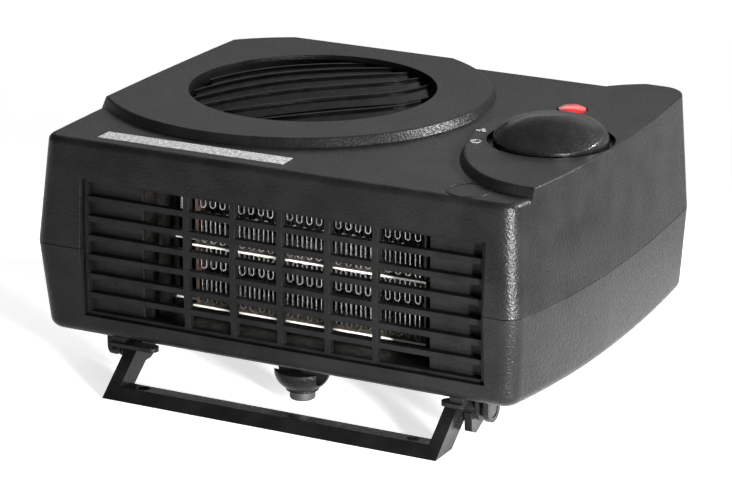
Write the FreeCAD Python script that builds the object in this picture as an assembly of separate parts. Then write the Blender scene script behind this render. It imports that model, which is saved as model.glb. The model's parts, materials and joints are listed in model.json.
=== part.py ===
import FreeCAD, Part
import math
import os

# Fan convector heater, millimetres, +Z up, front towards -Y.
# Shapes are drawn with Z = 0 on the parting plane of the two shells and Y = 0 on the front
# face, then shifted so the origin lies under the middle of the heater, on the floor.
V = FreeCAD.Vector

# ---- driving dimensions -------------------------------------------------------------
WIDE_R = 131.5          # grille middle to the right wall at its widest
WIDE_L = 134.5          # and to the left wall
DEPTH = 205.0           # case front to rear
Y_WIDE = 88.0           # where the side walls bulge most
R_SIDE_RF = 430.0       # right wall curve ahead of the bulge
R_SIDE_RR = 870.0       # right wall curve behind it
R_SIDE_L = 2400.0       # left wall curve, nearly straight
R_CORNER_F = 9.0
R_CORNER_R = 14.0
Z_TOP = 57.5            # raised fields on the lid
Z_DECK = 53.2           # lower deck of the lid
Z_BASE = -44.0          # underside of the case
Z_PAD = -51.0           # underside of the plinth
Z_FLOOR = -69.0         # floor the heater stands on
DRAFT_R = 0.071         # inward lean of the walls, mm per mm of height
DRAFT_L = 0.1
DRAFT_FRONT = 0.065
DRAFT_REAR = 0.01
Y_BELLY = -1.2          # how far the front wall swells forward at the parting plane
WALL = 2.6
SEAM = 0.15             # half of the gap between the shells

GRILLE_HX = 106.5       # half width of the front opening
GRILLE_ZT = 34.7
GRILLE_ZB = -33.8
BAR_PITCH_X = 25.0
BAR_W = 2.9
ROWS = 7
SLOT_H = 6.8

FAN_X = -46.0
FAN_Y = 122.0
R_INTAKE = 61.5
LOUVRES = 6
FAN_FIELD = (-54.9, 122.3, 97.7, 93.2)      # raised field: middle x, y and half axes
KNOB_FIELD = (117.2, 114.2, 61.6, 95.5)

KNOB_X = 96.6
KNOB_Y = 92.5
R_KNOB = 27.4
R_KNOB_WELL = 30.3
Z_KNOB_WELL = 54.6
Z_KNOB_TOP = 70.5
R_CHEEK = 52.0          # rounded cheeks on both sides of the grip ridge
CHEEK_MIDDLE = (7.3, 19.8)      # their centre: how far past the ridge, and its height
KNOB_OFF_DEG = 212.0    # pointer direction at the off position
R_DIAL = 35.5           # marks stand on this circle
DIAL_STEP = 30.0
R_SHAFT = 3.0

LENS_X = 84.0
LENS_Y = 144.5

PIVOT_Y = 21.5          # hinge line of the tilt stand
PIVOT_Z = -52.5
R_STUB = 4.0
ARM_IN = 82.5
ARM_OUT = 88.9
LEDGE_R = 82.5          # where the tips of the two stop ledges end
LEDGE_L = 69.0

FOOT_Y = 24.8
REAR_FOOT_X = 77.0
REAR_FOOT_Y = 176.0

BOX_HX = 77.0           # heater duct
BOX_Y0 = 9.2
BOX_Y1 = 62.0
BOX_ZT = 37.0
BOX_ZB = -36.0
MICA_HX = 62.5
MICA_Y0 = 30.0
MICA_Y1 = 58.0
MICA_PITCH = 30.6
WIRE = 0.7              # width of the resistance strip
STRIP_PITCH = 2.6       # from leg to leg
STRIP_LEGS = 46
HUNG_LEN = 12.3         # how far the hanging strips reach below their board

SCREWS = [(-113.5, 21.0), (113.5, 21.0), (-106.0, 186.0), (106.0, 186.0)]
BAIL_FRONT = -12.5      # foremost edge of the tilt stand
GLAND_OUT = 2.6         # rim of the cable gland behind the case
SHIFT = V((WIDE_L - WIDE_R) / 2.0, -(DEPTH + GLAND_OUT + BAIL_FRONT) / 2.0, -Z_FLOOR)


# ---- small helpers ------------------------------------------------------------------
def box(x0, x1, y0, y1, z0, z1):
    return Part.makeBox(x1 - x0, y1 - y0, z1 - z0, V(x0, y0, z0))


def cyl(x, y, z0, z1, r):
    return Part.makeCylinder(r, z1 - z0, V(x, y, z0), V(0, 0, 1))


def rod_x(x0, x1, y, z, r):
    return Part.makeCylinder(r, x1 - x0, V(x0, y, z), V(1, 0, 0))


def rod_y(x, y0, y1, z, r):
    return Part.makeCylinder(r, y1 - y0, V(x, y0, z), V(0, 1, 0))


def tube(x, y, z0, z1, r_out, r_in):
    return cyl(x, y, z0, z1, r_out).cut(cyl(x, y, z0 - 1, z1 + 1, r_in))


def poly_face(points):
    return Part.Face(Part.makePolygon(points + [points[0]]))


def prism_x(points_yz, x0, x1):
    face = poly_face([V(x0, y, z) for y, z in points_yz])
    return face.extrude(V(x1 - x0, 0, 0))


def crown(points):
    # smooth profile that ends on the axis
    curve = Part.BSplineCurve()
    curve.interpolate([V(r, 0, z) for r, z in points])
    return curve.toShape()


def turned(edges):
    solid = Part.Face(Part.Wire(edges)).revolve(V(0, 0, 0), V(0, 0, 1), 360)
    if solid.Volume < 0:
        solid.reverse()
    return solid


def round_rect(cx, cy, w, h, r, z):
    hx = w / 2.0
    hy = h / 2.0
    k = r * (1 - math.sqrt(0.5))
    edges = []
    corners = [(1, -1), (1, 1), (-1, 1), (-1, -1)]
    last = None
    first = None
    for sx, sy in corners:
        ax = V(cx + sx * hx, cy + sy * (hy - r), z)
        bx = V(cx + sx * (hx - r), cy + sy * hy, z)
        mid = V(cx + sx * (hx - k), cy + sy * (hy - k), z)
        start, end = (bx, ax) if sx * sy < 0 else (ax, bx)
        if last is not None:
            edges.append(Part.makeLine(last, start))
        else:
            first = start
        edges.append(Part.Arc(start, mid, end).toShape())
        last = end
    edges.append(Part.makeLine(last, first))
    return Part.Face(Part.Wire(edges))


def slab(cx, cy, w, h, r, z0, z1):
    return round_rect(cx, cy, w, h, r, z0).extrude(V(0, 0, z1 - z0))


def join(shapes):
    out = shapes[0]
    if len(shapes) > 1:
        out = out.multiFuse(shapes[1:])
    return out.removeSplitter()


def mirrored(shape):
    return shape.mirror(V(0, 0, 0), V(1, 0, 0))


def both_sides(shape):
    return [shape, mirrored(shape)]


def save(name, shapes):
    items = shapes if isinstance(shapes, list) else [shapes]
    placed = []
    for item in items:
        item = item.copy()
        item.translate(SHIFT)
        placed.append(item)
    out = placed[0] if len(placed) == 1 else Part.makeCompound(placed)
    out.exportStep("parts/%s.step" % name)


# ---- case outline -------------------------------------------------------------------
def side_arc_point(cx, radius, y):
    return V(cx + math.sqrt(radius ** 2 - (y - Y_WIDE) ** 2), y, 0)


def corner(cx, radius, r, y_wall, inward):
    # arc of radius r that touches the front or rear wall and the side wall
    cy = y_wall + inward * r
    px = cx + math.sqrt((radius - r) ** 2 - (cy - Y_WIDE) ** 2)
    centre = V(px, cy, 0)
    out = centre - V(cx, Y_WIDE, 0)
    out.normalize()
    touch = centre + out * r
    flat = V(px, y_wall, 0)
    middle = (touch - centre) + (flat - centre)
    middle.normalize()
    return flat, centre + middle * r, touch


def wall_arcs(wide, r_ahead, r_behind, y_front, y_rear, inset):
    # one half of the outline, front to rear, for a wall on the +X side
    cf = wide - r_ahead
    cr = wide - r_behind
    f_flat, f_mid, f_touch = corner(cf, r_ahead, max(R_CORNER_F - inset, 3.0), y_front, 1)
    r_flat, r_mid, r_touch = corner(cr, r_behind, R_CORNER_R - inset, y_rear, -1)
    widest = V(wide, Y_WIDE, 0)
    mid_f = side_arc_point(cf, r_ahead, (f_touch.y + Y_WIDE) / 2)
    mid_r = side_arc_point(cr, r_behind, (r_touch.y + Y_WIDE) / 2)
    return [(f_flat, f_mid, f_touch), (f_touch, mid_f, widest),
            (widest, mid_r, r_touch), (r_touch, r_mid, r_flat)]


def outline(z, inset=0.0):
    height = abs(z)
    y_front = Y_BELLY + height * DRAFT_FRONT + inset
    y_rear = DEPTH - height * DRAFT_REAR - inset
    right = wall_arcs(WIDE_R - height * DRAFT_R - inset, R_SIDE_RF, R_SIDE_RR, y_front, y_rear, inset)
    left = wall_arcs(WIDE_L - height * DRAFT_L - inset, R_SIDE_L, R_SIDE_L, y_front, y_rear, inset)
    left = [[V(-p.x, p.y, 0) for p in (c, b, a)] for a, b, c in reversed(left)]
    edges = [Part.Arc(a, b, c).toShape() for a, b, c in right]
    edges.append(Part.makeLine(right[-1][2], left[0][0]))
    edges += [Part.Arc(a, b, c).toShape() for a, b, c in left]
    edges.append(Part.makeLine(left[-1][2], right[0][0]))
    wire = Part.Wire(edges)
    wire.translate(V(0, 0, z))
    return wire


def case_block(z0, z1, inset=0.0):
    return Part.makeLoft([outline(z0, inset), outline(z1, inset)], True, True)


def ellipse_wire(cx, cy, a, b, z):
    # the long half axis may lie along X or Y
    if a >= b:
        curve = Part.Ellipse(V(cx + a, cy, z), V(cx, cy + b, z), V(cx, cy, z))
    else:
        curve = Part.Ellipse(V(cx, cy + b, z), V(cx - a, cy, z), V(cx, cy, z))
    return Part.Wire([curve.toShape()])


def field(cx, cy, a, b, slope, z0, z1):
    low = ellipse_wire(cx, cy, a + slope, b + slope, z0)
    high = ellipse_wire(cx, cy, a, b, z1)
    return Part.makeLoft([low, high], True, True)


def top_edges(shape, z, tol=0.05):
    found = []
    for edge in shape.Edges:
        box_e = edge.BoundBox
        if abs(box_e.ZMin - z) < tol and abs(box_e.ZMax - z) < tol:
            found.append(edge)
    return found


# ---- case shells --------------------------------------------------------------------
def opening_collar(z0, z1):
    # flange that stands in from the edge of the front opening
    t = 1.6
    return box(-GRILLE_HX - t, GRILLE_HX + t, 1.3, 6.8, z0, z1)


def upper_shell():
    lid = case_block(SEAM, Z_TOP)
    away = box(-150, 150, -20, 230, Z_DECK, Z_TOP + 5)
    for cx, cy, a, b in (FAN_FIELD, KNOB_FIELD):
        away = away.cut(field(cx, cy, a - 1.2, b - 1.2, 3.0, Z_DECK - 0.5, Z_TOP + 1))
    lid = lid.cut(away)
    lid = lid.makeFillet(1.2, top_edges(lid, Z_TOP, 0.01))
    front = []
    for edge in top_edges(lid, Z_DECK, 0.01):
        if all(v.Point.y < 12 for v in edge.Vertexes):
            front.append(edge)
    lid = lid.makeFillet(3.5, front)
    hollow = case_block(SEAM - 1, Z_DECK - WALL, WALL)
    lid = lid.cut(hollow)
    collar = tube(FAN_X, FAN_Y, 43.6, Z_TOP - 2, R_INTAKE + 2.2, R_INTAKE)
    posts = [tube(x, y, 1.0, Z_DECK - 1.5, 4.6, 2.0) for x, y in SCREWS]
    ring = tube(91.5, 15.0, Z_DECK - 0.2, Z_DECK + 0.35, 10.6, 9.8)
    lid = join([lid, collar, ring, opening_collar(SEAM, GRILLE_ZT + 1.8)] + posts)
    cuts = [cyl(FAN_X, FAN_Y, 40, 60, R_INTAKE),
            cyl(KNOB_X, KNOB_Y, Z_KNOB_WELL, 60, R_KNOB_WELL),
            cyl(KNOB_X, KNOB_Y, 40, 60, 6.0),
            cyl(LENS_X, LENS_Y, Z_TOP - 1.6, 60, 7.6),
            cyl(LENS_X, LENS_Y, 40, 60, 6.0),
            box(-GRILLE_HX, GRILLE_HX, -5, 12, -1, GRILLE_ZT)]
    return lid.cut(Part.makeCompound(cuts))


def foot_dome(x, y, z_top, z_low):
    # spherical cup with a flat underside and a shallow ring round it
    r = 13.5
    low_r = 8.0
    profile = [V(0, 0, z_low), V(low_r, 0, z_low), V(low_r, 0, z_low + 1.2)]
    arc = Part.Arc(V(low_r, 0, z_low + 1.2), V(11.6, 0, z_low + 4.2), V(r, 0, z_low + 8.6))
    edges = [Part.makeLine(profile[0], profile[1]), Part.makeLine(profile[1], profile[2]),
             arc.toShape(), Part.makeLine(V(r, 0, z_low + 8.6), V(r, 0, z_top)),
             Part.makeLine(V(r, 0, z_top), V(0, 0, z_top)),
             Part.makeLine(V(0, 0, z_top), profile[0])]
    dome = turned(edges)
    dome.translate(V(x, y, 0))
    return dome


def hinge_ear(x0, x1):
    plate = rod_x(x0, x1, PIVOT_Y, PIVOT_Z, 6.5)
    root = box(x0, x1, PIVOT_Y - 6.5, PIVOT_Y + 6.5, PIVOT_Z, Z_BASE + 1.0)
    return plate.fuse(root)


def stop_ledge(reach):
    # thin shelf with a round tip, whose underside meets the arm when the stand is swung forward
    r = 3.5
    shelf = box(reach + r, 94, 7.0 - r, 7.0 + r, -48.4, -46.4)
    tip = cyl(reach + r, 7.0, -48.4, -46.4, r)
    root = box(87, 94, 5.5, 10.5, -46.5, -43.0)
    return shelf.fuse(tip).fuse(root)


def lower_shell():
    tub = case_block(Z_BASE, -SEAM)
    tub = tub.makeFillet(5.5, top_edges(tub, Z_BASE, 0.01))
    hollow = case_block(Z_BASE + WALL, SEAM + 1, WALL)
    tub = tub.cut(hollow)
    extra = [slab(0, 92, 117, 146, 6, Z_PAD, Z_BASE + 1)]
    extra.append(foot_dome(0, FOOT_Y, Z_PAD + 0.5, -61.0))
    for side in (-1, 1):
        extra.append(foot_dome(side * REAR_FOOT_X, REAR_FOOT_Y, Z_BASE + 1, -64.4))
    for x0, x1 in ((95.3, 96.9), (99.6, 102.2)):
        extra += both_sides(hinge_ear(x0, x1))
    extra += [stop_ledge(LEDGE_R), mirrored(stop_ledge(LEDGE_L))]
    extra.append(opening_collar(GRILLE_ZB - 1.8, -SEAM))
    for x, y in SCREWS:
        extra.append(cyl(x, y, Z_BASE + 1.5, -0.6, 5.2))
    tub = join([tub] + extra)
    cuts = [box(-GRILLE_HX, GRILLE_HX, -5, 12, GRILLE_ZB, 5),
            slab(0, 92, 112, 141, 4, Z_PAD + WALL, -43.0),
            rod_x(-110, 110, PIVOT_Y, PIVOT_Z, R_STUB + 0.08),
            rod_y(100.0, 190, 215, -22.0, 6.2)]
    for x, y in SCREWS:
        cuts.append(cyl(x, y, -50, 5, 2.3))
        cuts.append(cyl(x, y, -50, -36.0, 3.9))
    cuts += both_sides(box(89.3, 94.7, 13, 39, -50, -41))
    return tub.cut(Part.makeCompound(cuts))


def front_grille():
    zt = GRILLE_ZT - 0.35
    zb = GRILLE_ZB + 0.35
    face_arc = Part.Arc(V(0, 3.2, zb), V(0, 2.2, 0), V(0, 3.2, zt)).toShape()
    back_arc = Part.Arc(V(0, 6.6, zt), V(0, 5.6, 0), V(0, 6.6, zb)).toShape()
    edges = [face_arc, Part.makeLine(V(0, 3.2, zt), V(0, 6.6, zt)), back_arc,
             Part.makeLine(V(0, 6.6, zb), V(0, 3.2, zb))]
    plate = Part.Face(Part.Wire(edges)).extrude(V(2 * GRILLE_HX - 0.8, 0, 0))
    plate.translate(V(-GRILLE_HX + 0.4, 0, 0))
    columns = []
    for i in range(6):
        left = (i - 2.5) * BAR_PITCH_X - BAR_PITCH_X / 2 + BAR_W / 2
        right = left + BAR_PITCH_X - BAR_W
        if i == 0:
            left = -104.2
        if i == 5:
            right = 104.2
        columns.append((left, right))
    pitch = (zt - zb - 3.0 + 2.8) / ROWS
    slots = []
    for row in range(ROWS):
        z_mid = zb + 1.5 + pitch * (row + 0.5) - 1.4
        for left, right in columns:
            face = round_rect((left + right) / 2, z_mid, right - left, SLOT_H, 0.8, 0)
            face.rotate(V(0, 0, 0), V(1, 0, 0), 90)
            slots.append(face.extrude(V(0, 20, 0)))
    return plate.cut(Part.makeCompound([s.translated(V(0, -5, 0)) for s in slots]))


def blanking_panel():
    return box(BOX_HX - 1.0, 106.0, 7.0, 8.6, BOX_ZB + 1, BOX_ZT - 1)


def louvre(v):
    # blade across the well, its ends swept round, its top edge domed, leaning forward
    half = math.sqrt(60.2 ** 2 - min(abs(v), 60.0) ** 2) + 3.0
    points = []
    for i in range(13):
        u = -half + 2 * half * i / 12.0
        if u > 0:
            sweep = (11.5 - 0.32 * v) * (u / 58.0) ** 3
        else:
            sweep = -(2.0 + 0.2 * v) * (u / 55.0) ** 2
        z = 52.0 + 4.4 * (1 - (u * u + v * v) / (64.0 ** 2))
        points.append(V(u, v + sweep, z))
    curve = Part.BSplineCurve()
    curve.interpolate(points)
    blade = curve.toShape().extrude(V(0, -10.5, -2.2)).extrude(V(0, 0, 1.7))
    lip = curve.toShape().extrude(V(0, -1.4, -0.1)).extrude(V(0, 0, 2.6))
    return blade.fuse(lip)


def intake_grille():
    blades = [louvre(-42.0 + 20.3 * i - 0.55 * i * i) for i in range(LOUVRES)]
    ribs = []
    dome = Part.makeSphere(465.0, V(0, 0, 55.0 - 465.0))
    for u in (-22.0, 22.0):
        ribs.append(box(u - 1.0, u + 1.0, -60.5, 60.5, 46.0, 58.0).common(dome))
    inner = join(blades + ribs)
    inner.rotate(V(0, 0, 0), V(0, 0, 1), 45)
    inner.translate(V(FAN_X, FAN_Y, 0))
    inner = inner.common(cyl(FAN_X, FAN_Y, 44.6, 60, 60.0))
    rim = tube(FAN_X, FAN_Y, 44.6, 52.0, R_INTAKE - 0.3, 59.6)
    flange = tube(FAN_X, FAN_Y, 42.0, 43.3, 65.0, 58.0)
    neck = tube(FAN_X, FAN_Y, 42.5, 45.5, R_INTAKE - 0.3, 59.0)
    return join([inner, rim, flange, neck])


def foil_label():
    corners = [V(-102, 10.2, 0), V(-3, 11.4, 0), V(-3, 22.2, 0), V(-102, 20.6, 0)]
    plate = poly_face(corners).extrude(V(0, 0, 0.2))
    plate.translate(V(0, 0, Z_DECK))
    return plate


# ---- control knob and lamp ----------------------------------------------------------
def control_knob():
    skirt = cyl(0, 0, 55.2, 58.6, R_KNOB)
    edges = [Part.makeLine(V(0, 0, 58.6), V(R_KNOB, 0, 58.6)),
             crown([(R_KNOB, 58.6), (25.8, 62.0), (19.0, 66.9), (10.0, 69.8), (0, Z_KNOB_TOP)]),
             Part.makeLine(V(0, 0, Z_KNOB_TOP), V(0, 0, 58.6))]
    dome = turned(edges)
    knob = skirt.fuse(dome).removeSplitter()
    ball = Part.makeSphere(R_CHEEK, V(0, -CHEEK_MIDDLE[0], CHEEK_MIDDLE[1]))
    shaving = box(-40, 40, 0, 40, 58.0, 80.0).cut(ball)
    knob = knob.cut(shaving).cut(shaving.mirror(V(0, 0, 0), V(0, 1, 0)))
    mark = box(-R_KNOB - 1, -R_KNOB + 7.0, -0.6, 0.6, 58.0, 66.0)
    hole = cyl(0, 0, 50, 66.0, 3.0)
    knob = knob.cut(Part.makeCompound([mark, hole]))
    knob.rotate(V(0, 0, 0), V(0, 0, 1), KNOB_OFF_DEG - 180.0)
    knob.translate(V(KNOB_X, KNOB_Y, 0))
    return knob


def dial_marks():
    # off ring, fan symbol, one bar and two bars at the four stops of the pointer
    marks = []
    height = 0.2
    for step in range(4):
        angle = math.radians(KNOB_OFF_DEG - DIAL_STEP * step)
        cx = KNOB_X + R_DIAL * math.cos(angle)
        cy = KNOB_Y + R_DIAL * math.sin(angle)
        if step == 0:
            items = [tube(cx, cy, Z_TOP, Z_TOP + height, 2.6, 1.9)]
        elif step == 1:
            items = []
            for k in range(3):
                turn = math.radians(90 + 120 * k)
                items.append(cyl(cx + 1.7 * math.cos(turn), cy + 1.7 * math.sin(turn),
                                 Z_TOP, Z_TOP + height, 1.15))
        else:
            items = []
            for k in range(step - 1):
                x = cx + (k - (step - 2) / 2.0) * 2.4
                items.append(box(x - 0.5, x + 0.5, cy - 2.6, cy + 2.6, Z_TOP, Z_TOP + height))
        marks += items
    return marks


def indicator_lens():
    edges = [Part.makeLine(V(0, 0, 52.0), V(5.7, 0, 52.0)),
             Part.makeLine(V(5.7, 0, 52.0), V(5.7, 0, Z_TOP - 1.3)),
             Part.makeLine(V(5.7, 0, Z_TOP - 1.3), V(6.8, 0, Z_TOP - 1.3)),
             Part.makeLine(V(6.8, 0, Z_TOP - 1.3), V(6.8, 0, Z_TOP + 0.4)),
             crown([(6.8, Z_TOP + 0.4), (4.4, Z_TOP + 1.4), (2.0, Z_TOP + 1.74), (0, Z_TOP + 1.8)]),
             Part.makeLine(V(0, 0, Z_TOP + 1.8), V(0, 0, 52.0))]
    lens = turned(edges)
    lens = lens.cut(cyl(0, 0, 51, Z_TOP - 0.5, 4.4))
    lens.translate(V(LENS_X, LENS_Y, 0))
    return lens


def neon_lamp():
    bulb = cyl(LENS_X, LENS_Y, 40.0, 53.0, 3.0)
    tip = Part.makeSphere(3.0, V(LENS_X, LENS_Y, 53.0))
    return bulb.fuse(tip).removeSplitter()


def lamp_holder():
    return tube(LENS_X, LENS_Y, 36.0, 51.2, 5.2, 3.1).fuse(cyl(LENS_X, LENS_Y, 34.5, 39.6, 5.2))


def rotary_switch():
    body = slab(KNOB_X, KNOB_Y, 40, 40, 4, 16.0, 38.0)
    plate = slab(KNOB_X, KNOB_Y, 52, 26, 4, 38.0, 40.0)
    bush = tube(KNOB_X, KNOB_Y, 40.0, 53.6, 5.6, R_SHAFT + 0.06)
    hole = cyl(KNOB_X, KNOB_Y, 28, 60, R_SHAFT + 0.06)
    return join([body, plate, bush]).cut(hole)


def switch_shaft():
    return cyl(KNOB_X, KNOB_Y, 28.3, 65.9, R_SHAFT)


def switch_terminals():
    tabs = []
    for i in range(4):
        x = KNOB_X - 13.5 + 9.0 * i
        tabs.append(box(x - 2.4, x + 2.4, KNOB_Y - 0.4, KNOB_Y + 0.4, 6.5, 15.9))
    return tabs


# ---- tilt stand ---------------------------------------------------------------------
ARM_SIDE = [(BAIL_FRONT, Z_FLOOR), (4.5, Z_FLOOR), (18.0, -58.6), (23.5, -58.0),
            (25.5, -50.0), (20.5, -46.6), (15.5, -47.6), (10.2, -50.4)]
BAR_SIDE = [(BAIL_FRONT, Z_FLOOR), (4.5, Z_FLOOR), (3.9, -65.5), (-6.52, -64.1)]
STOP_SIDE = [(14.5, -54.0), (15.2, -63.2), (19.6, -65.2), (28.0, -61.6), (28.4, -54.0)]


def bail_stand():
    # bar in front, an arm at each end, hubs with stubs, and a stop beside each hub
    parts = [prism_x(BAR_SIDE, -ARM_OUT, ARM_OUT)]
    parts += both_sides(prism_x(ARM_SIDE, ARM_IN, ARM_OUT))
    parts += both_sides(rod_x(ARM_IN, 95.0, PIVOT_Y, PIVOT_Z, 6.0))
    parts += both_sides(rod_x(94.0, 101.9, PIVOT_Y, PIVOT_Z, R_STUB))
    parts += both_sides(prism_x(STOP_SIDE, 90.2, 94.0))
    return join(parts)


# ---- feet, gland and screws ---------------------------------------------------------
def rubber_foot(x, y, z_top, height):
    pad = cyl(x, y, z_top - height, z_top, 6.15)
    edge = [e for e in pad.Edges if abs(e.BoundBox.ZMax - (z_top - height)) < 0.01
            and e.Curve.TypeId == "Part::GeomCircle"]
    return pad.makeFillet(0.8, edge)


def cable_gland():
    y1 = DEPTH + GLAND_OUT
    sleeve = rod_y(100.0, 197.0, y1 - 2.0, -22.0, 5.9)
    rim = rod_y(100.0, DEPTH + 0.2, y1, -22.0, 8.4)
    lock = rod_y(100.0, 197.0, 199.6, -22.0, 8.0)
    body = join([sleeve, rim, lock]).cut(rod_y(100.0, 190, 215, -22.0, 3.6))
    return body


def case_screws():
    out = []
    for x, y in SCREWS:
        shank = cyl(x, y, -36.2, 18.0, 1.85)
        head = cyl(x, y, -38.6, -36.1, 3.5)
        slot_a = box(x - 2.0, x + 2.0, y - 0.4, y + 0.4, -38.7, -37.4)
        slot_b = box(x - 0.4, x + 0.4, y - 2.0, y + 2.0, -38.7, -37.4)
        out.append(join([shank, head]).cut(Part.makeCompound([slot_a, slot_b])))
    return out


# ---- fan and motor ------------------------------------------------------------------
def scroll_radius(deg):
    return 58.0 + 20.0 * deg / 250.0


def scroll_curve(extra, z):
    # wall that winds from the left of the outlet, behind the fan, to its right
    points = []
    for i in range(16):
        swept = 250.0 * i / 15.0
        angle = math.radians(232.0 - swept)
        r = scroll_radius(swept) + extra
        points.append(V(FAN_X + r * math.cos(angle), FAN_Y + r * math.sin(angle), z))
    curve = Part.BSplineCurve()
    curve.interpolate(points)
    return curve.toShape(), points[0], points[-1]


def duct_corner(side, x, z):
    return V(side * x, BOX_Y1 + 0.4, z)


def scroll_wall(z0, z1, t=1.8):
    # one wall from the left corner of the duct round the fan to its right corner
    inner, ia, ib = scroll_curve(0.0, z0)
    outer, oa, ob = scroll_curve(t, z0)
    x_in = BOX_HX - 3.0
    path = [Part.makeLine(duct_corner(-1, x_in, z0), ia), inner,
            Part.makeLine(ib, duct_corner(1, x_in, z0)),
            Part.makeLine(duct_corner(1, x_in, z0), duct_corner(1, x_in + t, z0)),
            Part.makeLine(duct_corner(1, x_in + t, z0), ob), outer,
            Part.makeLine(oa, duct_corner(-1, x_in + t, z0)),
            Part.makeLine(duct_corner(-1, x_in + t, z0), duct_corner(-1, x_in, z0))]
    return Part.Face(Part.Wire(path)).extrude(V(0, 0, z1 - z0))


def scroll_plate(z0, z1, grow):
    # floor or roof that closes the scroll as far forward as the heater duct
    outer, oa, ob = scroll_curve(grow, z0)
    right = duct_corner(1, BOX_HX - 0.2, z0)
    left = duct_corner(-1, BOX_HX - 0.2, z0)
    lines = [outer, Part.makeLine(ob, right), Part.makeLine(right, left), Part.makeLine(left, oa)]
    return Part.Face(Part.Wire(lines)).extrude(V(0, 0, z1 - z0))


def fan_scroll():
    z0 = -8.0
    floor = scroll_plate(z0, z0 + 2.0, 3.4)
    wall = scroll_wall(z0 + 1.0, 39.6)
    body = join([floor, wall])
    cuts = [cyl(FAN_X, FAN_Y, z0 - 1, z0 + 3, 9.0)]
    for dy in (-27.0, 27.0):
        cuts.append(cyl(FAN_X, FAN_Y + dy, z0 - 1, z0 + 3, 3.6))
    return body.cut(Part.makeCompound(cuts))


def scroll_cover():
    roof = scroll_plate(39.7, 41.5, 3.4)
    mouth = tube(FAN_X, FAN_Y, 36.2, 41.5, 49.6, 48.0)
    return join([roof, mouth]).cut(cyl(FAN_X, FAN_Y, 30, 45, 48.0))


def fan_impeller():
    hub = cyl(0, 0, -1.0, 11.6, 8.0)
    disc = cyl(0, 0, -1.0, 0.6, 54.6)
    ring = tube(0, 0, 33.8, 35.6, 55.0, 51.2)
    pieces = [hub, disc, ring]
    for i in range(32):
        inner = V(44.0, 0, 0.2)
        middle = V(48.6, 1.9, 0.2)
        outer = V(54.0, 2.2, 0.2)
        back = [V(54.0, 3.2, 0.2), V(48.3, 2.9, 0.2), V(44.0, 1.0, 0.2)]
        edges = [Part.Arc(inner, middle, outer).toShape(), Part.makeLine(outer, back[0]),
                 Part.Arc(back[0], back[1], back[2]).toShape(), Part.makeLine(back[2], inner)]
        blade = Part.Face(Part.Wire(edges)).extrude(V(0, 0, 34.0))
        blade.rotate(V(0, 0, 0), V(0, 0, 1), 360.0 * i / 32)
        pieces.append(blade)
    wheel = join(pieces).cut(cyl(0, 0, -10, 20, 3.0))
    wheel.translate(V(FAN_X, FAN_Y, 0))
    return wheel


def hub_nut():
    return tube(FAN_X, FAN_Y, 11.7, 15.2, 5.2, 3.0)


def motor_shaft():
    return cyl(FAN_X, FAN_Y, -40.2, 17.6, 3.0)


def motor_rotor():
    return tube(FAN_X, FAN_Y, -32.6, -18.4, 13.6, 3.0)


def motor_stator():
    stack = box(-34, 34, -20, 44, -33.0, -18.0)
    bore = cyl(0, 0, -40, -10, 14.2)
    window = box(-19, 19, 20.5, 33.0, -40, -10)
    notch = cyl(0, -15.8, -40, -10, 1.0)
    stack = stack.cut(Part.makeCompound([bore, window, notch]))
    for dx in (-27.0, 27.0):
        stack = stack.cut(cyl(dx, 0, -40, -10, 2.2))
    stack.rotate(V(0, 0, 0), V(0, 0, 1), 90)
    stack.translate(V(FAN_X, FAN_Y, 0))
    return stack


def motor_coil():
    # coil round the far limb of the core, wound on a bobbin
    coil = box(-16, 16, 23.0, 54.0, -40.5, -10.5).cut(box(-20, 20, 32.6, 44.4, -33.4, -17.6))
    rounded = []
    for edge in coil.Edges:
        e = edge.BoundBox
        if abs(e.XLength - 32) < 0.1 and e.ZLength < 0.1 and (e.ZMax > -11 or e.ZMin < -40):
            rounded.append(edge)
    coil = coil.makeFillet(2.5, rounded)
    coil.rotate(V(0, 0, 0), V(0, 0, 1), 90)
    coil.translate(V(FAN_X, FAN_Y, 0))
    return coil


def motor_bobbin():
    cheeks = []
    for x0, x1 in ((-18.4, -16.2), (16.2, 18.4)):
        cheeks.append(box(x0, x1, 21.0, 55.0, -41.0, -10.2))
    core = box(-20, 20, 32.6, 44.4, -33.4, -17.6)
    out = []
    for cheek in cheeks:
        piece = cheek.cut(core)
        piece.rotate(V(0, 0, 0), V(0, 0, 1), 90)
        piece.translate(V(FAN_X, FAN_Y, 0))
        out.append(piece)
    return out


def bearing_bracket(z_strip, z_cup0, z_cup1, bore):
    strip = slab(0, 0, 14, 66, 6, z_strip, z_strip + 1.6)
    cup = cyl(0, 0, z_cup0, z_cup1, 7.6)
    holes = [cyl(0, 0, -60, 10, bore)]
    for dy in (-27.0, 27.0):
        holes.append(cyl(0, dy, -60, 10, 2.2))
    bracket = join([strip, cup]).cut(Part.makeCompound(holes))
    bracket.translate(V(FAN_X, FAN_Y, 0))
    return bracket


def motor_bracket_upper():
    return bearing_bracket(-17.9, -17.9, -10.4, 5.0)


def motor_bracket_lower():
    return bearing_bracket(-34.7, -40.4, -33.1, 5.0)


def shaft_bearings():
    return [tube(FAN_X, FAN_Y, -16.2, -10.6, 5.0, 3.05), tube(FAN_X, FAN_Y, -40.2, -34.8, 5.0, 3.05)]


def motor_screws():
    out = []
    for dy in (-27.0, 27.0):
        bolt = cyl(FAN_X, FAN_Y + dy, -37.6, -1.4, 1.9)
        head = cyl(FAN_X, FAN_Y + dy, -37.6, -34.8, 3.6)
        nut = cyl(FAN_X, FAN_Y + dy, -3.4, -1.4, 3.4)
        out.append(join([bolt, head, nut]))
    return out


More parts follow.
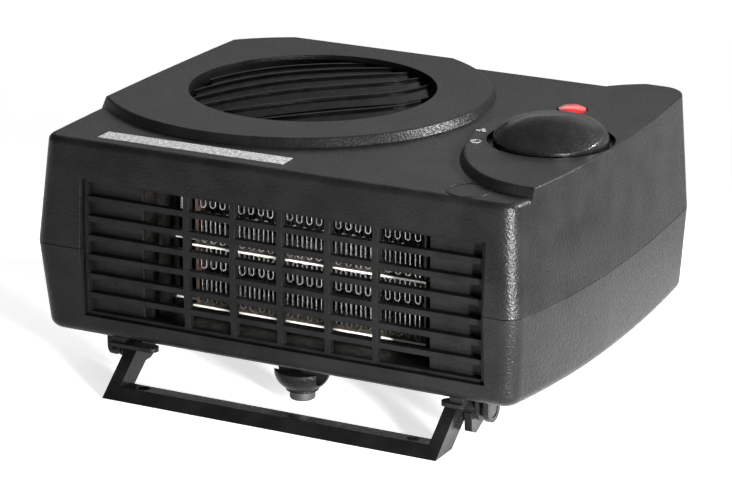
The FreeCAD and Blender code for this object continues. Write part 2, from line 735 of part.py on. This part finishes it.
def motor_grommets():
    out = []
    for dy in (-27.0, 27.0):
        neck = tube(FAN_X, FAN_Y + dy, -16.2, -3.5, 3.5, 1.95)
        low = tube(FAN_X, FAN_Y + dy, -12.0, -8.1, 5.4, 1.95)
        high = tube(FAN_X, FAN_Y + dy, -5.9, -3.5, 5.4, 1.95)
        out.append(join([neck, low, high]))
    return out


# ---- heating element ----------------------------------------------------------------
def heater_duct():
    outer = box(-BOX_HX, BOX_HX, BOX_Y0, BOX_Y1, BOX_ZB, BOX_ZT)
    inner = box(-BOX_HX + 0.9, BOX_HX - 0.9, BOX_Y0 - 1, BOX_Y1 - 1.2, BOX_ZB + 0.9, BOX_ZT - 0.9)
    mouth = box(-BOX_HX + 4.0, BOX_HX - 4.0, BOX_Y1 - 5, BOX_Y1 + 1, -5.6, 35.0)
    shell = outer.cut(inner).cut(mouth)
    slots = []
    for i in (-1, 0, 1):
        z = MICA_PITCH * i
        slots += both_sides(box(BOX_HX - 3, BOX_HX + 1, MICA_Y0 + 7.8, MICA_Y1 - 7.8,
                                z - 0.75, z + 0.75))
    return shell.cut(Part.makeCompound(slots))


def mica_board(level):
    z = MICA_PITCH * level
    board = box(-MICA_HX, MICA_HX, MICA_Y0, MICA_Y1, z - 0.5, z + 0.5)
    tab = box(-BOX_HX - 0.8, BOX_HX + 0.8, MICA_Y0 + 8, MICA_Y1 - 8, z - 0.5, z + 0.5)
    return join([board, tab])


def mica_posts():
    out = []
    for side in (-1, 1):
        for gap in (-1, 0):
            z0 = MICA_PITCH * gap + 0.6
            z1 = MICA_PITCH * (gap + 1) - 0.6
            x = side * 61.2
            out.append(box(x - 0.5, x + 0.5, MICA_Y0 + 2, MICA_Y1 - 2, z0, z1))
    return out


def serpentine(y, z0, z1, pitch, x_start, legs):
    # resistance strip bent up and down between two boards
    h = WIRE / 2
    upper = [V(x_start - h, y, z0)]
    lower = [V(x_start + h, y, z0)]
    for i in range(legs - 1):
        x = x_start + pitch * i
        nx = x + pitch
        if i % 2 == 0:
            upper += [V(x - h, y, z1), V(nx + h, y, z1)]
            lower += [V(x + h, y, z1 - WIRE), V(nx - h, y, z1 - WIRE)]
        else:
            upper += [V(x + h, y, z0 + WIRE), V(nx - h, y, z0 + WIRE)]
            lower += [V(x - h, y, z0), V(nx + h, y, z0)]
    last = x_start + pitch * (legs - 1)
    upper.append(V(last + h, y, z0))
    lower.append(V(last - h, y, z0))
    face = poly_face(upper + list(reversed(lower)))
    return face.extrude(V(0, WIRE, 0))


def heating_wires(level):
    # in each bank one strip hangs from the upper board and one stands on the lower board
    z_low = MICA_PITCH * level
    z_high = z_low + MICA_PITCH
    x_start = -STRIP_PITCH * (STRIP_LEGS - 1) / 2
    out = []
    for bank in range(3):
        y = MICA_Y0 + 2.0 + 9.0 * bank
        hung = serpentine(y, -z_high + 0.9, -z_high + HUNG_LEN, STRIP_PITCH, x_start, STRIP_LEGS)
        out.append(hung.mirror(V(0, 0, 0), V(0, 0, 1)))
        standing = serpentine(y, -(z_high - HUNG_LEN - 1.2), -(z_low + 0.7), STRIP_PITCH, x_start,
                              STRIP_LEGS)
        out.append(standing.mirror(V(0, 0, 0), V(0, 0, 1)))
    return out


def heater_terminals():
    out = []
    for z in (-MICA_PITCH, 0, MICA_PITCH):
        out.append(box(72.0, 75.6, 42.0, 46.0, z + 0.6, z + 1.4).fuse(
            cyl(73.8, 44.0, z + 1.2, z + 3.4, 1.6)))
    return out


def thermal_cutout():
    disc = cyl(70.0, 36.0, 12.0, 16.0, 4.0)
    base = cyl(70.0, 36.0, 8.0, 12.0, 4.8)
    return disc.fuse(base)


def cutout_bracket():
    return box(65.6, 75.6, 31.0, 41.0, 6.8, 7.9)


def thermal_fuse():
    barrel = Part.makeCylinder(2.0, 11.0, V(-70.0, 38.0, 12.0), V(0, 0, 1))
    lead = Part.makeCylinder(0.5, 19.0, V(-70.0, 38.0, 8.0), V(0, 0, 1))
    return barrel.fuse(lead)


def fuse_sleeve():
    return tube(-70.0, 38.0, 11.0, 24.0, 3.0, 2.1)


# ---- wiring inside ------------------------------------------------------------------
def terminal_block():
    block = box(56, 96, 168, 184, -38.0, -24.0)
    wells = []
    for i in range(3):
        wells.append(cyl(63.0 + 13.0 * i, 176.0, -32.0, -20.0, 3.4))
        wells.append(rod_y(63.0 + 13.0 * i, 160, 190, -33.2, 2.0))
    return block.cut(Part.makeCompound(wells))


def terminal_screws():
    out = []
    for i in range(3):
        x = 63.0 + 13.0 * i
        screw = cyl(x, 176.0, -31.9, -25.4, 3.1)
        out.append(screw.cut(box(x - 4, x + 4, 175.6, 176.4, -26.4, -25)))
    return out


def block_seat():
    return box(54, 98, 166, 186, -41.3, -38.2)


# ---- write every piece --------------------------------------------------------------
def main():
    os.makedirs("parts", exist_ok=True)
    save("upper_shell", upper_shell())
    save("lower_shell", lower_shell())
    save("front_grille", front_grille())
    panel = blanking_panel()
    save("blanking_panel_right", panel)
    save("blanking_panel_left", mirrored(panel))
    save("intake_grille", intake_grille())
    save("foil_label", foil_label())
    save("control_knob", control_knob())
    save("dial_marks", dial_marks())
    save("indicator_lens", indicator_lens())
    save("neon_lamp", neon_lamp())
    save("lamp_holder", lamp_holder())
    save("rotary_switch", rotary_switch())
    save("switch_shaft", switch_shaft())
    save("switch_terminals", switch_terminals())
    save("bail_stand", bail_stand())
    save("front_foot", rubber_foot(0, FOOT_Y, -61.0, 4.6))
    save("rear_foot_left", rubber_foot(-REAR_FOOT_X, REAR_FOOT_Y, -64.4, 4.6))
    save("rear_foot_right", rubber_foot(REAR_FOOT_X, REAR_FOOT_Y, -64.4, 4.6))
    save("cable_gland", cable_gland())
    save("case_screws", case_screws())
    save("fan_scroll", fan_scroll())
    save("scroll_cover", scroll_cover())
    save("fan_impeller", fan_impeller())
    save("hub_nut", hub_nut())
    save("motor_shaft", motor_shaft())
    save("motor_rotor", motor_rotor())
    save("motor_stator", motor_stator())
    save("motor_coil", motor_coil())
    save("motor_bobbin", motor_bobbin())
    save("motor_bracket_upper", motor_bracket_upper())
    save("motor_bracket_lower", motor_bracket_lower())
    save("shaft_bearings", shaft_bearings())
    save("motor_screws", motor_screws())
    save("motor_grommets", motor_grommets())
    save("heater_duct", heater_duct())
    save("mica_board_top", mica_board(1))
    save("mica_board_middle", mica_board(0))
    save("mica_board_bottom", mica_board(-1))
    save("mica_posts", mica_posts())
    save("heating_wires_upper", heating_wires(0))
    save("heating_wires_lower", heating_wires(-1))
    save("heater_terminals", heater_terminals())
    save("thermal_cutout", thermal_cutout())
    save("cutout_bracket", cutout_bracket())
    save("thermal_fuse", thermal_fuse())
    save("fuse_sleeve", fuse_sleeve())
    save("terminal_block", terminal_block())
    save("terminal_screws", terminal_screws())
    save("block_seat", block_seat())


main()
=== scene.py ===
import json
import math
import random

import bmesh
import bpy
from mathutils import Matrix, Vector


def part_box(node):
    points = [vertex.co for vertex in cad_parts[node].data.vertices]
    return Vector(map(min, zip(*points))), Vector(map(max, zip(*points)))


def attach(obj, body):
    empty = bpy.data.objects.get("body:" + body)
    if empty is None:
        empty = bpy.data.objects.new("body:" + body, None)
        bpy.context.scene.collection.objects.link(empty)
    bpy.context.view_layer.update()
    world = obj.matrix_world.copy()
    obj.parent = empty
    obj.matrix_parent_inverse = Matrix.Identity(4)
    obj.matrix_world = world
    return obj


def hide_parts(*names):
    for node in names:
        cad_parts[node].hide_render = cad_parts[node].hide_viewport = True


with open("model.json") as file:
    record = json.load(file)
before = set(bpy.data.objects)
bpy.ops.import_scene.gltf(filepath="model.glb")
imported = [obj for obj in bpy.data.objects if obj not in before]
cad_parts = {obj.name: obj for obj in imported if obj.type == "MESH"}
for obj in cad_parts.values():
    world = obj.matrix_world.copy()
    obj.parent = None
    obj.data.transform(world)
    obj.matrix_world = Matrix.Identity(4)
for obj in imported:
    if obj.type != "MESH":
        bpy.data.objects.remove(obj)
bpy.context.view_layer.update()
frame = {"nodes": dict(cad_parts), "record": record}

# The frame has its origin on the floor under the middle of the heater: +X to the heater's
# right as seen from the front, -Y towards the viewer, +Z up, metres.
MM = 0.001
SEED = 11
Y_AXIS = 1
# the colour sockets of a Mix node, which share their names with its other sockets
MIX_SHARE = 0
MIX_FIRST = 6
MIX_SECOND = 7
MIX_RESULT = 2


# ---- material building blocks -------------------------------------------------------
def rgba(colour):
    """A colour with its alpha added, or the output of another node as it is."""
    return colour if isinstance(colour, bpy.types.NodeSocket) else (*colour, 1)


class Surface:
    """A Principled material with the texture nodes that drive its colour, gloss and relief."""

    def __init__(self, name, **constants):
        self.material = bpy.data.materials.new(name)
        self.material.use_nodes = True
        self.tree = self.material.node_tree
        self.shader = self.tree.nodes["Principled BSDF"]
        for socket, value in constants.items():
            self.shader.inputs[socket.replace("_", " ")].default_value = value
        self.relief = None

    def add(self, kind, settings=None, inputs=None):
        """A new node, each input of which is linked to a socket or set to a value."""
        node = self.tree.nodes.new(kind)
        for key, value in (settings or {}).items():
            setattr(node, key, value)
        for key, value in (inputs or {}).items():
            if isinstance(value, bpy.types.NodeSocket):
                self.tree.links.new(value, node.inputs[key])
            else:
                node.inputs[key].default_value = value
        return node

    def place(self, stretch=(1, 1, 1)):
        """The place on the piece in metres, scaled by stretch."""
        where = self.add("ShaderNodeTexCoord").outputs["Object"]
        if stretch == (1, 1, 1):
            return where
        return self.add("ShaderNodeMapping", inputs={"Vector": where, "Scale": stretch}).outputs[0]

    def noise(self, size, detail=3.0, stretch=(1, 1, 1)):
        """Cloudy pattern whose blotches are about size metres across."""
        inputs = {"Vector": self.place(stretch), "Scale": 1 / size, "Detail": detail}
        return self.add("ShaderNodeTexNoise", inputs=inputs).outputs[0]

    def cells(self, size):
        """Distance from the middle of the nearest of many grains about size metres across."""
        inputs = {"Vector": self.place(), "Scale": 1 / size}
        return self.add("ShaderNodeTexVoronoi", {"feature": "F1"}, inputs).outputs["Distance"]

    def lines(self, pitch, axis, wobble=0.0):
        """Parallel ridges, pitch metres apart along the axis."""
        settings = {"wave_type": "BANDS", "bands_direction": axis}
        # one band of a wave texture is a twentieth of a unit wide at scale 2 pi / 20
        inputs = {"Vector": self.place(), "Scale": math.pi / (10 * pitch), "Distortion": wobble}
        return self.add("ShaderNodeTexWave", settings, inputs).outputs[1]

    def spread(self, value, low, high, lo_in=0.35, hi_in=0.65):
        """Value moved from the range lo_in to hi_in into the range low to high, and clamped."""
        inputs = {"Value": value, "From Min": lo_in, "From Max": hi_in,
                  "To Min": low, "To Max": high}
        return self.add("ShaderNodeMapRange", inputs=inputs).outputs[0]

    def blend(self, share, first, second):
        """The first colour where share is 0, the second where it is 1."""
        inputs = {MIX_SHARE: share, MIX_FIRST: rgba(first), MIX_SECOND: rgba(second)}
        return self.add("ShaderNodeMix", {"data_type": "RGBA"}, inputs).outputs[MIX_RESULT]

    def clouds(self, size, dark, light, detail=3.0):
        """Blend of two colours in blotches about size metres across."""
        return self.blend(self.spread(self.noise(size, detail), 0, 1), dark, light)

    def colour(self, output):
        """Base colour taken from the output of another node."""
        self.tree.links.new(output, self.shader.inputs["Base Color"])

    def gloss(self, size, low, high, detail=3.0, stretch=(1, 1, 1)):
        """Roughness that wanders from low to high in blotches about size metres across."""
        rough = self.spread(self.noise(size, detail, stretch), low, high)
        self.tree.links.new(rough, self.shader.inputs["Roughness"])

    def along(self, vector, axis):
        """The part of a vector along the axis number given."""
        return self.add("ShaderNodeSeparateXYZ", inputs={"Vector": vector}).outputs[axis]

    def soften(self, radius):
        """Rounds the shaded look of sharp edges to the given radius in metres."""
        self.relief = self.add("ShaderNodeBevel", {"samples": 4}, {"Radius": radius}).outputs[0]
        self.tree.links.new(self.relief, self.shader.inputs["Normal"])

    def faces_towards(self, axis):
        """1 on faces whose normal lies along the axis number given, either way, 0 elsewhere."""
        normal = self.add("ShaderNodeTexCoord").outputs["Normal"]
        part = self.along(normal, axis)
        size = self.add("ShaderNodeMath", {"operation": "ABSOLUTE"}, {0: part}).outputs[0]
        return self.spread(size, 0, 1, 0.6, 0.8)

    def bump(self, height, depth, strength=1.0):
        """Relief of the given depth in metres, laid over any relief made before."""
        inputs = {"Height": height, "Distance": depth, "Strength": strength}
        if self.relief is not None:
            inputs["Normal"] = self.relief
        self.relief = self.add("ShaderNodeBump", inputs=inputs).outputs[0]
        self.tree.links.new(self.relief, self.shader.inputs["Normal"])


def grey(value, warm=0.0):
    """A grey whose red is raised and whose blue is lowered by the share warm."""
    return (value * (1 + warm), value, value * (1 - warm))


# ---- one function for each material slot --------------------------------------------
def case_plastic():
    """Spark-eroded dark moulding: dense fine pits with a soft sheen between them."""
    s = Surface("case_plastic", Specular_IOR_Level=0.13)
    s.colour(s.clouds(0.018, grey(0.004), grey(0.007)))
    s.gloss(0.0011, 0.27, 0.42, 4)
    s.soften(0.0006)
    s.bump(s.noise(0.0009, 3), 0.00024, 0.9)
    s.bump(s.cells(0.0013), 0.00016, 0.7)
    return s.material


def grille_plastic():
    """Satin moulding of the outlet grille, its bars slightly rounded."""
    s = Surface("grille_plastic", Specular_IOR_Level=0.12)
    s.colour(s.clouds(0.012, grey(0.003), grey(0.006)))
    s.gloss(0.0016, 0.34, 0.46)
    s.soften(0.0004)
    s.bump(s.noise(0.0007), 0.00006, 0.6)
    return s.material


def louvre_plastic():
    """Smooth moulding with faint flow marks that soften the highlights."""
    s = Surface("louvre_plastic", Specular_IOR_Level=0.03)
    s.colour(s.clouds(0.01, grey(0.002), grey(0.004)))
    s.gloss(0.004, 0.16, 0.3)
    s.soften(0.0005)
    s.bump(s.noise(0.006, 2), 0.0002, 0.5)
    return s.material


def stand_plastic():
    """Glossy moulding with a faint wave in its surface."""
    s = Surface("stand_plastic", Specular_IOR_Level=0.2)
    s.colour(s.clouds(0.015, grey(0.003), grey(0.006)))
    s.gloss(0.003, 0.16, 0.3)
    s.soften(0.0005)
    s.bump(s.noise(0.003, 3), 0.00012, 0.5)
    return s.material


def knob_plastic():
    """Semi-gloss moulding with a fine grain."""
    s = Surface("knob_plastic", Specular_IOR_Level=0.3)
    s.colour(s.clouds(0.008, grey(0.003), grey(0.006)))
    s.gloss(0.0012, 0.22, 0.34)
    s.soften(0.0006)
    s.bump(s.noise(0.0007, 3), 0.00008, 0.7)
    return s.material


def foil():
    """Thin rolled foil: bright flecks where the crinkles catch the light."""
    s = Surface("foil", Metallic=0.9)
    s.colour(s.clouds(0.0011, grey(0.3), grey(0.8), 4))
    s.gloss(0.0016, 0.38, 0.6)
    s.bump(s.noise(0.0009, 4), 0.0002, 0.9)
    return s.material


def print_ink():
    """Pale printed marks of the dial."""
    s = Surface("print_ink", Roughness=0.5)
    s.colour(s.clouds(0.0012, grey(0.2), grey(0.34)))
    s.bump(s.noise(0.0005), 0.00004, 0.5)
    return s.material


def lens_red():
    """Clear red moulding over the lamp, with fine steps inside."""
    s = Surface("lens_red", Transmission_Weight=0.25, IOR=1.49,
                Coat_Weight=0.8, Coat_Roughness=0.08)
    s.colour(s.clouds(0.003, (0.42, 0.006, 0.008), (0.66, 0.02, 0.02)))
    s.gloss(0.002, 0.12, 0.24)
    s.bump(s.lines(0.0012, "X"), 0.00008, 0.4)
    return s.material


def lamp_glass():
    """Thin clear glass of the neon lamp, tinted by its glow."""
    s = Surface("lamp_glass", Transmission_Weight=0.9, IOR=1.5)
    s.colour(s.clouds(0.004, (0.9, 0.68, 0.5), (0.95, 0.8, 0.66)))
    s.gloss(0.002, 0.04, 0.1)
    return s.material


def moulded(name, dark, light, rough, grain=0.0009, depth=0.00008):
    """A plain moulding with cloudy colour, uneven gloss and a fine grain."""
    s = Surface(name)
    s.colour(s.clouds(0.007, dark, light))
    s.gloss(0.002, rough - 0.07, rough + 0.07)
    s.bump(s.noise(grain), depth, 0.6)
    return s.material


def metal(name, dark, light, rough, stretch=(1, 1, 1), grain=0.0006, depth=0.00005):
    """Bare metal with drawn or rolled marks along the direction that stretch leaves long."""
    s = Surface(name, Metallic=1.0)
    s.colour(s.clouds(0.005, dark, light))
    s.gloss(0.0015, rough - 0.08, rough + 0.1, stretch=stretch)
    s.bump(s.noise(grain, 3, stretch), depth, 0.6)
    return s.material


def insulator():
    return moulded("insulator", (0.56, 0.52, 0.43), (0.66, 0.62, 0.54), 0.45)


def phenolic():
    return moulded("phenolic", (0.035, 0.022, 0.018), (0.06, 0.042, 0.036), 0.35)


def steel():
    return metal("steel", grey(0.5), grey(0.66), 0.28)


def duct_steel():
    """Thin sheet that the heat has darkened in cloudy patches."""
    s = Surface("duct_steel", Metallic=0.9)
    s.colour(s.blend(s.cells(0.006), grey(0.012, 0.1), grey(0.035, 0.05)))
    s.gloss(0.004, 0.34, 0.52)
    s.bump(s.noise(0.0012), 0.00004, 0.5)
    return s.material


def mica():
    """Pressed mica board: brownish flakes on its faces, darkened as painted shade, and a pale
    colour as a painted highlight on the faces towards the front and back.
    """
    s = Surface("mica", Specular_IOR_Level=0.5)
    share = s.spread(s.cells(0.0016), 0, 1, 0.1, 0.7)
    # painted shade: the broad faces are coloured dark; painted highlight: the faces towards the
    # front and back are coloured pale
    flakes = s.blend(share, (0.07, 0.06, 0.045), (0.16, 0.14, 0.11))
    s.colour(s.blend(s.faces_towards(Y_AXIS), flakes, (0.82, 0.8, 0.74)))
    s.gloss(0.001, 0.25, 0.5)
    s.bump(s.cells(0.0013), 0.00008, 0.6)
    return s.material


def resistance_wire():
    """Bright strip in the front bank, darkened by painted shade in the banks behind it."""
    s = Surface("resistance_wire", Metallic=1.0)
    bright = s.clouds(0.005, grey(0.7), grey(0.95))
    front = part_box("heating_wires_upper")[0].y
    depth = s.along(s.place(), Y_AXIS)
    # painted shade: the strips of the banks behind the front one are coloured nearly black
    behind = s.spread(depth, 0, 1, front + 3 * MM, front + 6 * MM)
    s.colour(s.blend(behind, bright, (0.03, 0.028, 0.026)))
    s.gloss(0.0015, 0.2, 0.4)
    s.bump(s.noise(0.0008), 0.00005, 0.6)
    return s.material


def copper():
    """Enamelled winding: one fine ridge for each turn of wire."""
    s = Surface("copper", Metallic=0.85, Coat_Weight=0.5)
    s.colour(s.clouds(0.004, (0.48, 0.16, 0.05), (0.68, 0.3, 0.12)))
    s.gloss(0.002, 0.25, 0.4)
    s.bump(s.lines(0.0005, "Y", 0.4), 0.0002, 0.9)
    return s.material


def bronze():
    return metal("bronze", (0.42, 0.28, 0.13), (0.56, 0.4, 0.2), 0.4)


def brass():
    return metal("brass", (0.7, 0.5, 0.2), (0.84, 0.66, 0.32), 0.26)


def core_steel():
    """Stacked laminations, seen as fine lines round the sides of the core."""
    s = Surface("core_steel", Metallic=0.8)
    s.colour(s.blend(s.lines(0.0007, "Z"), grey(0.09), grey(0.24)))
    s.gloss(0.002, 0.4, 0.6)
    s.bump(s.lines(0.0007, "Z"), 0.0001, 0.8)
    return s.material


def zamak():
    return metal("zamak", grey(0.45), grey(0.6), 0.42, grain=0.0012, depth=0.0001)


def rubber():
    return moulded("rubber", grey(0.012), grey(0.02), 0.62, grain=0.0006)


def fan_plastic():
    return moulded("fan_plastic", grey(0.03), grey(0.05), 0.4)


def sleeve():
    """Woven glass-fibre sleeve."""
    s = Surface("sleeve", Roughness=0.7)
    s.colour(s.blend(s.lines(0.0009, "DIAGONAL"), (0.5, 0.48, 0.42), (0.78, 0.75, 0.68)))
    s.bump(s.lines(0.0009, "DIAGONAL"), 0.0002, 0.9)
    return s.material


MAKERS = [case_plastic, grille_plastic, louvre_plastic, stand_plastic, knob_plastic, foil,
          print_ink, lens_red, lamp_glass, insulator, phenolic, steel, duct_steel, mica,
          resistance_wire, copper, bronze, brass, core_steel, zamak, rubber, fan_plastic, sleeve]


def dress_nodes():
    """Gives every CAD node the finish of its material slot."""
    finishes = {make.__name__: make() for make in MAKERS}
    for part in frame["record"]["subparts"]:
        obj = frame["nodes"].get(part["node"])
        if obj is not None:
            obj.material_slots[0].material = finishes[part["material_slot"]]
    return finishes


# ---- objects from mesh data ---------------------------------------------------------
def add_to_scene(name, data):
    """A new object that shows the data given: a mesh, a light or a camera."""
    obj = bpy.data.objects.new(name, data)
    bpy.context.scene.collection.objects.link(obj)
    return obj


def from_mesh_data(bm, name, material):
    """A new object with the mesh of bm, in one material."""
    mesh = bpy.data.meshes.new(name)
    bm.to_mesh(mesh)
    bm.free()
    mesh.materials.append(material)
    return add_to_scene(name, mesh)


def piece(bm, name, material, body, stands_for):
    """Turns finished mesh data into a piece that rides on a CAD body."""
    bmesh.ops.recalc_face_normals(bm, faces=bm.faces)
    obj = from_mesh_data(bm, name, material)
    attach(obj, body)
    if stands_for:
        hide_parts(*stands_for)


# ---- heating strips -----------------------------------------------------------------
LEGS = 46
LEG_PITCH = 2.6 * MM
STRIP_THICK = 0.28 * MM
STRIP_DEPTH = 1.3 * MM
BANKS = 3
BANK_PITCH = 9.0 * MM
ROW_HEIGHT = 12.3 * MM      # from the top of one row of loops to the board under it
ABOVE_BOARD = 0.9 * MM
BELOW_BOARD = 0.5 * MM
TURN_STEPS = 6              # straight pieces in each half turn
TOP_PLAY = 0.5 * MM         # how far the loops and legs stray
LOW_PLAY = 0.8 * MM
SIDE_PLAY = 0.22 * MM


def strip_path(rng, x_start, z_top, z_bottom):
    """Points of one strip bent up and down, each loop a little different from the next."""
    points = []
    half = LEG_PITCH / 2
    tops = [z_top - rng.uniform(0, TOP_PLAY) for _ in range(LEGS)]
    lows = [z_bottom + rng.uniform(0, LOW_PLAY) for _ in range(LEGS)]
    for leg in range(LEGS):
        x = x_start + LEG_PITCH * leg + rng.uniform(-SIDE_PLAY, SIDE_PLAY)
        bend_low = leg % 2 == 0
        top = tops[(leg + 1) // 2]
        low = lows[leg // 2]
        ends = [(x, top - half), (x, low + half)]
        if not bend_low:
            ends.reverse()
        points += ends
        if leg == LEGS - 1:
            break
        cx = x + half
        turn_z = low + half if bend_low else tops[(leg + 2) // 2] - half
        sign = -1 if bend_low else 1
        for k in range(1, TURN_STEPS):
            angle = math.pi * k / TURN_STEPS
            points.append((cx - half * math.cos(angle), turn_z + sign * half * math.sin(angle)))
    return points


def ribbon(bm, path, y):
    """Flat strip of STRIP_THICK by STRIP_DEPTH that follows path in the plane at y."""
    rings = []
    for i, (x, z) in enumerate(path):
        x0, z0 = path[max(i - 1, 0)]
        x1, z1 = path[min(i + 1, len(path) - 1)]
        along = Vector((x1 - x0, 0, z1 - z0)).normalized()
        side = Vector((along.z, 0, -along.x)) * STRIP_THICK / 2
        deep = Vector((0, STRIP_DEPTH / 2, 0))
        centre = Vector((x, y, z))
        corners = [centre + side - deep, centre + side + deep,
                   centre - side + deep, centre - side - deep]
        rings.append([bm.verts.new(c) for c in corners])
    for a, b in zip(rings, rings[1:]):
        for k in range(4):
            bm.faces.new((a[k], a[(k + 1) % 4], b[(k + 1) % 4], b[k]))
    bm.faces.new(reversed(rings[0]))
    bm.faces.new(rings[-1])


def heating_strips(name, finishes):
    """Strips bent up and down beside the mica boards, in three banks one behind the other."""
    low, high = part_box(name)
    rng = random.Random(SEED + len(name))
    bm = bmesh.new()
    first_y = low.y + STRIP_DEPTH / 2
    x_start = (low.x + high.x) / 2 - LEG_PITCH * (LEGS - 1) / 2
    board = high.z - ROW_HEIGHT
    for bank in range(BANKS):
        y = first_y + BANK_PITCH * bank
        ribbon(bm, strip_path(rng, x_start, high.z, board + ABOVE_BOARD), y)
        ribbon(bm, strip_path(rng, x_start, board - BELOW_BOARD, low.z), y)
    piece(bm, name.replace("wires", "strips"), finishes["resistance_wire"], "case",
          [name])


# ---- grip marks on the stand --------------------------------------------------------
GRIP_R = 3.0 * MM
GRIP_INSET = 17.0 * MM      # from the end of the bar to the middle of the mark
BAR_FALL = 1.4 / 10.4       # slope of the bar's top, down towards the rear
GRIP_HEIGHT = 0.25 * MM
GRIP_RIDGES = 8
GRIP_TURN = 35              # degrees between the ridges and the bar, mirrored on the left
RIDGE_HALF = 0.42           # half the width of a ridge, as a share of the pitch
BAR_TOP = 4.2 * MM          # over the bottom of the stand, at the middle of the bar
BAR_MIDDLE = 11.4 * MM      # behind the front of the stand
ARM_X = 88.9 * MM           # from the middle of the stand to each end of the bar


def ridge(bm, cx, cy, z, angle, offset, pitch):
    """One low ridge of triangular section, as long as the circle allows at its offset."""
    along = Vector((math.cos(angle), math.sin(angle), 0))
    across = Vector((-along.y, along.x, 0))
    half = math.sqrt(GRIP_R ** 2 - offset ** 2)
    middle = Vector((cx, cy, z)) + across * offset
    ends = []
    for side in (-1, 1):
        end = middle + along * half * side
        section = [end - across * pitch * RIDGE_HALF, end + across * pitch * RIDGE_HALF,
                   end + Vector((0, 0, GRIP_HEIGHT)) - along * side * GRIP_HEIGHT]
        for corner in section:
            corner.z -= BAR_FALL * (corner.y - cy)
        ends.append([bm.verts.new(c) for c in section])
    first, last = ends
    for k in range(3):
        bm.faces.new((first[k], first[(k + 1) % 3], last[(k + 1) % 3], last[k]))
    bm.faces.new(reversed(first))
    bm.faces.new(last)


def grip_marks(finishes):
    """Round ribbed marks near the two ends of the stand's bar, where a finger pulls it out."""
    low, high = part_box("bail_stand")
    bar_top = low.z + BAR_TOP
    bar_y = low.y + BAR_MIDDLE
    middle_x = (low.x + high.x) / 2
    bm = bmesh.new()
    pitch = 2 * GRIP_R / (GRIP_RIDGES + 1)
    for side in (-1, 1):
        cx = middle_x + side * (ARM_X - GRIP_INSET)
        for k in range(GRIP_RIDGES):
            offset = -GRIP_R + pitch * (k + 1)
            ridge(bm, cx, bar_y, bar_top, math.radians(GRIP_TURN * side), offset, pitch)
    piece(bm, "grip_marks", finishes["stand_plastic"], "stand", [])


# ---- stage, lights and camera -------------------------------------------------------
FLOOR_GLOW = 0.68           # the floor is a light table, which leaves no hard shadow
FLOOR_HALF = 6.0
SKY = 0.25                  # strength of the even light from all round

BODY_MIDDLE = (0, 0, 0.06)
FRONT_CORNER = (0.12, -0.1, 0.065)
KNOB = (0.098, -0.005, 0.13)

LENS = 172.1
SENSOR = 36
SIGHT_LIMIT = 50
CAMERA_AT = (0.7463, -1.44335, 0.5893)
CAMERA_LOOK = (-0.4377, 0.8439, -0.3104)


def floor():
    """Pale studio floor that reaches past everything the camera sees."""
    corners = ((-1, -1), (1, -1), (1, 1), (-1, 1))
    bm = bmesh.new()
    bm.faces.new([bm.verts.new((x * FLOOR_HALF, y * FLOOR_HALF, 0)) for x, y in corners])
    s = Surface("floor_paper", Roughness=0.9, Specular_IOR_Level=0.2)
    s.colour(s.clouds(0.4, grey(0.9), grey(0.93)))
    s.shader.inputs["Emission Color"].default_value = (1, 1, 1, 1)
    s.shader.inputs["Emission Strength"].default_value = FLOOR_GLOW
    from_mesh_data(bm, "floor", s.material)


def aim(obj, at, look):
    """Puts a light or camera at a place, looking along a direction with its top up."""
    obj.location = at
    obj.rotation_euler = look.to_track_quat("-Z", "Y").to_euler()


def softbox(name, at, towards, size, power, spread=180):
    """Rectangular light of the size in metres and the power in watts."""
    light = bpy.data.lights.new(name, "AREA")
    light.shape = "RECTANGLE"
    light.size, light.size_y = size
    light.energy = power
    light.spread = math.radians(spread)
    aim(add_to_scene(name, light), at, Vector(towards) - Vector(at))


def studio():
    """White room light, a broad soft light behind, and small ones for the corner and knob."""
    world = bpy.data.worlds.new("studio")
    world.use_nodes = True
    background = world.node_tree.nodes["Background"]
    background.inputs["Color"].default_value = (1, 1, 1, 1)
    background.inputs["Strength"].default_value = SKY
    bpy.context.scene.world = world
    softbox("behind_above", (-0.5, 1.5, 1.1), BODY_MIDDLE, (1.6, 0.9), 4.5)
    softbox("corner_strip", (0.66, -0.5, 0.12), FRONT_CORNER, (0.06, 0.22), 1.8, 40)
    softbox("knob_light", (0.9, 0.5, 0.75), KNOB, (0.2, 0.2), 1.6, 30)
    bpy.context.scene.view_settings.view_transform = "Standard"


def camera():
    """Long lens from the front right, a little above the heater."""
    data = bpy.data.cameras.new("camera")
    data.sensor_width = SENSOR
    data.lens = LENS
    data.clip_end = SIGHT_LIMIT
    obj = add_to_scene("camera", data)
    aim(obj, CAMERA_AT, Vector(CAMERA_LOOK))
    bpy.context.scene.camera = obj


FINISHES = dress_nodes()
for wires in ("heating_wires_upper", "heating_wires_lower"):
    heating_strips(wires, FINISHES)
grip_marks(FINISHES)
floor()
studio()
camera()

bpy.context.view_layer.update()
